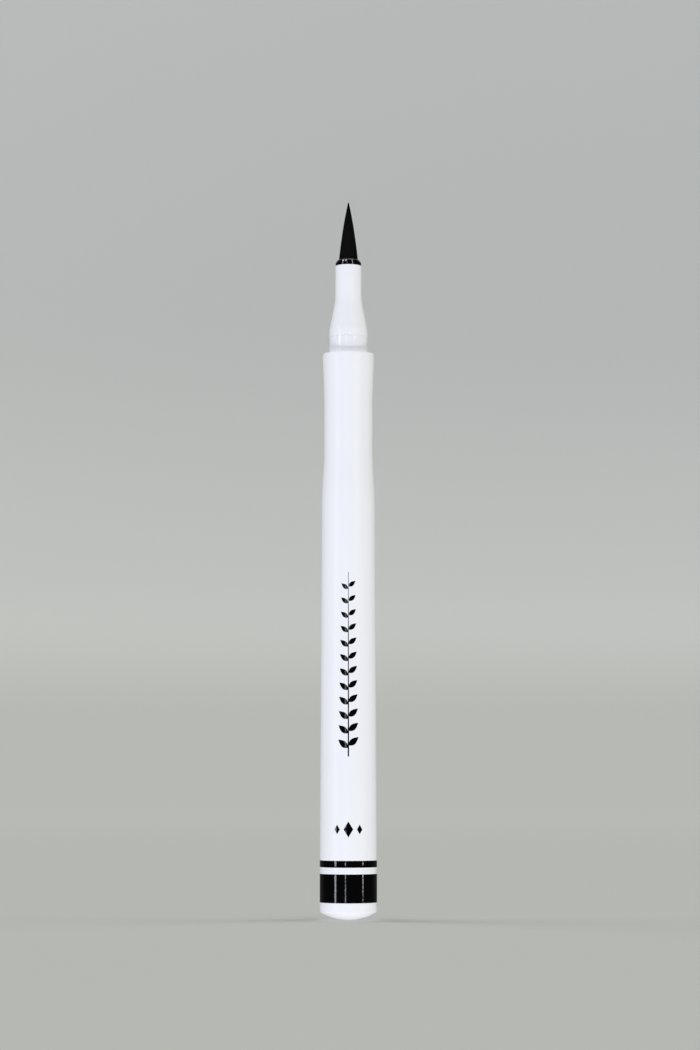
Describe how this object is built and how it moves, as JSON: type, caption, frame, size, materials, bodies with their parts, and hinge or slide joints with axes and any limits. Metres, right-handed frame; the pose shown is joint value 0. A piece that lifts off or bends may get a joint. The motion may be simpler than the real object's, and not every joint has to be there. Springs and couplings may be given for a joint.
{
  "type": "liquid eyeliner pen",
  "caption": "Slim free-ink eyeliner pen, uncapped: a tapered barrel that is the ink tank, a finned collector, a fibre nib in a collar, and a loose ball that mixes the ink.",
  "frame": {"origin": "lowest point of the domed tail, on the pen's axis", "axes": "+Z along the pen's axis from the tail to the nib; +X along the collector's capillary slit"},
  "size_m": [0.0104, 0.0104, 0.1321],
  "materials": {
    "white_plastic": "glossy moulded white plastic",
    "black_gloss": "high-gloss black",
    "black_plastic": "glossy moulded black plastic",
    "inked_fibre": "bonded fibre soaked in black ink",
    "seal_rubber": "matte rubber",
    "clear_plastic": "natural moulded plastic",
    "feed_fibre": "bonded fibre rod, inked",
    "ball_steel": "polished steel"
  },
  "bodies": {
    "pen": {"barrel": "white_plastic", "tail_plug": "white_plastic", "tail_seal": "seal_rubber", "wide_band": "black_gloss", "narrow_band": "black_gloss", "front_section": "white_plastic", "tip_holder": "black_plastic", "fibre_tip": "inked_fibre", "tank_stopper": "clear_plastic", "collector": "clear_plastic", "feed_core": "feed_fibre"},
    "ball": {"mixing_ball": "ball_steel"}
  },
  "joints": [
    {"name": "ball_slide", "type": "slide", "parent": "pen", "child": "ball", "axis": [0, 0, 1], "range_m": [0, 0.0623]}
  ]
}
